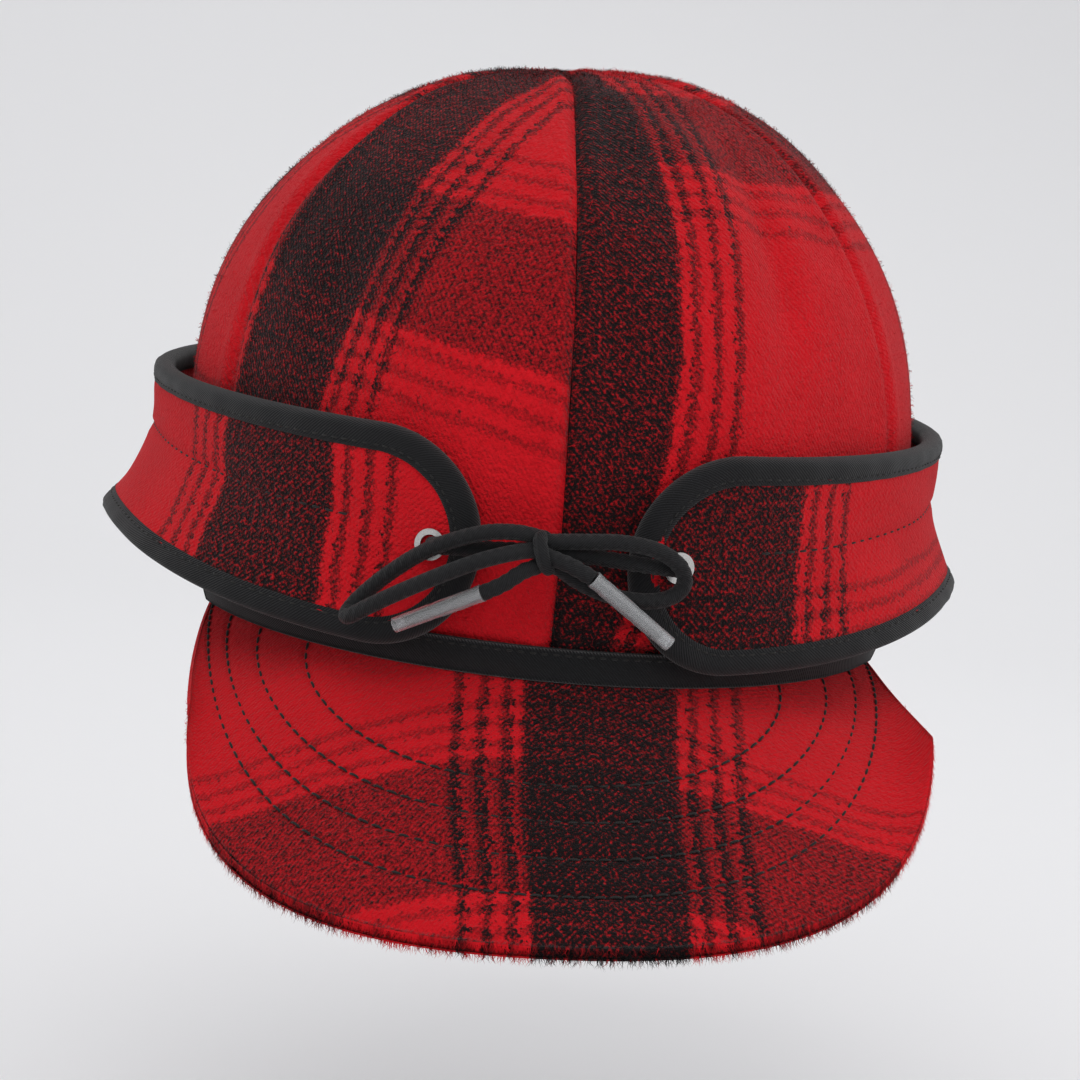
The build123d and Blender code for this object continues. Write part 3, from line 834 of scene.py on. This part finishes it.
class CAP_OT_visor(bpy.types.Operator):
    """Makes the visor's cloths, board, rows of stitching and root tape"""

    bl_idname = "cap.visor"
    bl_label = "Visor"

    def execute(self, context):
        fibre = context.scene.cap_settings.fibre_length / MM
        under = -2.2 - 0.3 - 1.6 - 0.3
        for number, (name, outer) in enumerate((("visor_top_cloth", 0.0), ("visor_under_cloth", under))):
            piece, face, cloth = shell(f"{name}_wool", visor_layer(outer, 2.2, 0.0), 161, 70)
            finish(piece, "Plaid Wool")
            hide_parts(name)
            nap = fibres(f"{name}_nap", face, cloth, 16000, fibre * 1.1, 31 + number, rim_share=0.16)
            finish(nap, "Plaid Wool")
        board, _, _ = shell("visor_board_sheet", visor_layer(-2.5, 1.6, 0.05), 61, 30, 3)
        finish(board, "Visor Board")
        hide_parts("visor_board")
        for number, (across_end, out_end) in enumerate(VISOR_ROWS):
            def row(t, offset):
                turn = (t - 0.5) * PI
                across = across_end * np.sign(turn) * np.abs(np.sin(turn)) ** (2 / 2.3)
                out = out_end * np.abs(np.cos(turn)) ** (2 / 2.3)
                return visor_point(across, out, offset)[0]

            t = np.linspace(0.0, 1.0, 400)
            way = np.linalg.norm(np.diff(row(t, 0.0), axis=0), axis=1)
            total = np.concatenate([[0], np.cumsum(way)])

            def even_row(s, offset):
                return row(np.interp(s, total / total[-1], t), offset)

            seam = stitches(f"visor_stitches_{number + 1}", surface_row(even_row), (0.01, 0.99),
                            int(total[-1] / 3.4), radius=0.3, sunk=0.25)
            finish(seam, "Dark Thread")

        def tape(u, v, depth):
            angle = (2 * u - 1) * VISOR_ROOT
            swell = 1.9 * v + 0.5 * np.sin(PI * v) + 0.5 * (1 - v)
            x, y = oval(angle, swell + 1.5 - 0.9 * depth)
            height = -1.3 + 7.4 * v
            return np.stack([x, y, height], -1), np.stack([angle * 94, height], -1)

        piece, face, _ = shell("root_tape_twill", tape, 141, 9, 4)
        finish(piece, "Edge Tape Twill")
        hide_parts("visor_root_tape")

        def tape_row(t, offset):
            x, y = oval((2 * t - 1) * VISOR_ROOT, 3.3 + offset)
            return np.stack([x, y, np.full_like(t, 4.9)], -1)

        seam = stitches("root_tape_stitches", surface_row(tape_row), (0.01, 0.99), 78)
        finish(seam, "Dark Thread")
        return {"FINISHED"}


# ------------------------------------------------------------------ ear band
def band_relief(angle, height):
    degrees = np.degrees(angle)
    spread = smooth_step((np.abs(degrees) - 25) / 20)
    relief = -0.9 * bump_at(height, CREASE, 1.2) * spread
    relief = relief + 0.5 * np.sin(degrees / 5.5 + height / 9) * np.sin(height / 8 + degrees / 17)
    return relief * smooth_step((np.minimum(height, BAND_HEIGHT - height) - 6.0) / 4.0)


def band_cloth(side):
    middle, total = BAND_HEIGHT / 2, half_run(side)
    plaid = {-1: (52.0, -70.0), 1: (24.0, -14.0)}[side]

    def point(u, v, depth):
        radius = middle - 3.0
        swing = PI * (v - 0.5)
        along = u ** 1.15
        run = middle + (total - middle) * along - radius * np.cos(swing) * (1 - along) ** 3
        height = middle + radius * np.sin(swing)
        angle = angle_at(side, run)
        offset = BAND_THICKNESS * (1 - depth) + band_relief(angle, height) * (1 - depth)
        places = band_point(angle, height, offset)
        return places, np.stack(np.broadcast_arrays(run - plaid[0], height - plaid[1]), -1)

    return point


def tape_ring(side, way, inset, offset):
    """A point on the folded tape: way runs along the band's edge, inset inwards from it."""
    middle = BAND_HEIGHT / 2
    straight = half_run(side) - middle
    bend = PI * middle
    swing = np.clip((way - straight) / middle, 0, PI)
    lower, upper = way < straight, way > straight + bend
    run = np.where(lower, middle + straight - way, middle - (middle - inset) * np.sin(swing))
    run = np.where(upper, middle + way - straight - bend, run)
    height = np.where(lower, inset, middle - (middle - inset) * np.cos(swing))
    height = np.where(upper, BAND_HEIGHT - inset, height)
    return band_point(angle_at(side, run), height, offset)


def tape_piece(side):
    """The tape's folded section, swept along the lower edge, round the tip and back along the top."""
    length = 2 * (half_run(side) - BAND_HEIGHT / 2) + PI * BAND_HEIGHT / 2
    fold = TAPE_THICKNESS / 2
    middle = BAND_THICKNESS / 2
    turn = np.linspace(-PI / 2, PI / 2, 11)
    inset = np.concatenate([[TAPE_WIDTH, TAPE_WIDTH, 5.2, 4.0], fold - fold * np.cos(turn)[::-1],
                            [4.0, 5.2, TAPE_WIDTH, TAPE_WIDTH]])
    offset = np.concatenate([[middle + 1.4, middle + fold - 0.25, middle + fold - 0.35, middle + fold],
                             middle + fold * np.sin(turn)[::-1],
                             [middle - fold, middle - fold + 0.35, middle - fold + 0.25, middle - 1.4]])
    sides = len(inset)
    rings = 420
    way = np.linspace(0, length, rings)[:, None] * np.ones(sides)
    pucker = 0.12 * np.sin(way / 1.9) * np.sin(way / 7.3) * (np.abs(offset - middle) > fold * 0.7)
    points = tape_ring(side, way, inset * np.ones((rings, 1)), offset + pucker)
    girth = np.cumsum(np.hypot(np.diff(inset, prepend=inset[0]), np.diff(offset, prepend=offset[0])))
    uvs = np.stack([way, np.broadcast_to(girth, way.shape)], -1).reshape(-1, 2)
    faces = grid_faces(rings, sides, wrap=True, flip=side < 0)
    last = (rings - 1) * sides
    faces.append(tuple(range(sides)))
    faces.append(tuple(last + k for k in range(sides))[::-1])
    return mesh_object(f"band_edge_tape_{SIDE_NAME[side]}", points.reshape(-1, 3), faces, uvs), length


class CAP_OT_ear_band(bpy.types.Operator):
    """Makes the pull-down ear band with its taped edge, stitching and hidden ply"""

    bl_idname = "cap.ear_band"
    bl_label = "Ear Band"

    def execute(self, context):
        fibre = context.scene.cap_settings.fibre_length / MM
        rear = {-1: ("earband_outer_ply", "earband_top_tape"), 1: ("earband_inner_ply", "earband_lower_tape")}
        for side, word in SIDE_NAME.items():
            piece, face, cloth = shell(f"band_cloth_{word}", band_cloth(side), 150, 41)
            if side < 0:
                piece.data.flip_normals()
            nap = fibres(f"band_nap_{word}", face[:, ::-side], cloth[:, ::-side], 12000, fibre, 51 + side)
            blend_band(piece, "Plaid Wool")
            blend_band(nap, "Plaid Wool")
            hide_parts(f"tab_outer_ply_{word}", f"tab_inner_ply_{word}", rear[side][0])
            tape, length = tape_piece(side)
            blend_band(tape, "Edge Tape Twill")
            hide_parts(f"tab_edge_tape_{word}", rear[side][1])

            def tape_row(t, offset):
                tape_face = BAND_THICKNESS / 2 + TAPE_THICKNESS / 2 - TAPE_SUNK
                return tape_ring(side, t * length, 5.0, tape_face + offset)

            seam = stitches(f"band_tape_stitches_{word}", surface_row(tape_row), (0.0, 1.0),
                            int(length / 2.6), radius=0.2)
            blend_band(seam, "Dark Thread")

            def crease_row(t, offset):
                angle = angle_at(side, 30 + t * (half_run(side) - 32))
                height = np.full_like(t, CREASE)
                return band_point(angle, height, BAND_THICKNESS + band_relief(angle, height) + offset)

            seam = stitches(f"band_crease_stitches_{word}", surface_row(crease_row), (0.0, 1.0), 76,
                            radius=0.26)
            blend_band(seam, "Dark Thread")

        def ply(u, v, depth):
            angle = math.radians(84) + (2 * PI - 2 * math.radians(84)) * u
            share = 0.01 + 0.08 * v
            places = crown_point(angle, share, 1.1 - 0.8 * depth)
            return places, np.stack([angle * 94, v * 28], -1)

        piece, face, _ = shell("hinge_ply_cotton", ply, 120, 10, 2)
        finish(piece, "Lining Cotton")
        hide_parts("earband_hinge_ply")
        return {"FINISHED"}


# ------------------------------------------------------------------ stage
class CAP_OT_stage(bpy.types.Operator):
    """Adds the pale floor, the soft lamps and the pale surroundings"""

    bl_idname = "cap.stage"
    bl_label = "Floor and Light"

    def execute(self, context):
        floor_height = CAD_BOX[0][2] / MM - FLOOR_DROP
        half, start, bend = 6000.0, 900.0, 700.0
        turn = np.linspace(0, PI / 2, 24)
        curve = [(start + bend * math.sin(a), floor_height + bend * (1 - math.cos(a))) for a in turn]
        profile = [(-half, floor_height)] + curve + [(start + bend, half)]
        points = [(x, y, z) for y, z in profile for x in (-half, half)]
        floor = mesh_object("floor", points, grid_faces(len(profile), 2, flip=True))
        material = bpy.data.materials.new("Pale Floor")
        material.use_nodes = True
        shader = material.node_tree.nodes["Principled BSDF"]
        shader.inputs["Base Color"].default_value = (0.88, 0.88, 0.89, 1)
        shader.inputs["Roughness"].default_value = 0.9
        floor.data.materials.append(material)
        world = bpy.data.worlds.new("surroundings")
        context.scene.world = world
        world.use_nodes = True
        nodes = Nodes(world.node_tree)
        background = world.node_tree.nodes["Background"]
        path = nodes.add("ShaderNodeLightPath")
        seen = nodes.math("MAXIMUM", path.outputs["Is Camera Ray"], path.outputs["Is Glossy Ray"])
        seen = nodes.math("MAXIMUM", seen, path.outputs["Is Transmission Ray"])
        nodes.put(nodes.mix(seen, (0.66, 0.66, 0.67, 1), (0.80, 0.80, 0.81, 1)), background.inputs["Color"])
        lamps = (("key_lamp", (-0.25, -0.8, 1.1), 6.0, 0.9), ("fill_lamp", (0.8, -0.7, 0.5), 2.0, 0.9),
                 ("back_lamp", (0.2, 0.9, 0.9), 2.5, 0.8))
        for name, place, power, width in lamps:
            lamp = bpy.data.lights.new(name, "AREA")
            lamp.energy = power
            lamp.size = width
            holder = bpy.data.objects.new(name, lamp)
            holder.location = place
            holder.rotation_euler = (Vector((0, 0, 0.05)) - Vector(place)).to_track_quat("-Z", "Y").to_euler()
            context.scene.collection.objects.link(holder)
        context.scene.view_settings.view_transform = "Standard"
        return {"FINISHED"}


class CAP_PT_panel(bpy.types.Panel):
    """Lists the cap's settings and the steps that build it"""

    bl_idname = "CAP_PT_panel"
    bl_label = "Plaid Ear Band Cap"
    bl_space_type = "VIEW_3D"
    bl_region_type = "UI"
    bl_category = "Cap"

    def draw(self, context):
        settings = context.scene.cap_settings
        for name in CapSettings.__annotations__:
            self.layout.prop(settings, name)
        for operator in OPERATORS:
            self.layout.operator(operator.bl_idname)


OPERATORS = (CAP_OT_camera_and_cords, CAP_OT_crown, CAP_OT_lining, CAP_OT_visor, CAP_OT_ear_band,
             CAP_OT_stage)
CLASSES = (CapSettings, *OPERATORS, CAP_PT_panel)


def register():
    for item in CLASSES:
        bpy.utils.register_class(item)
    bpy.types.Scene.cap_settings = bpy.props.PointerProperty(type=CapSettings)


def unregister():
    del bpy.types.Scene.cap_settings
    for item in reversed(CLASSES):
        bpy.utils.unregister_class(item)


def main():
    register()
    bpy.ops.cap.camera_and_cords()
    bpy.ops.cap.crown()
    bpy.ops.cap.lining()
    bpy.ops.cap.visor()
    bpy.ops.cap.ear_band()
    bpy.ops.cap.stage()


if __name__ == "__main__":
    main()
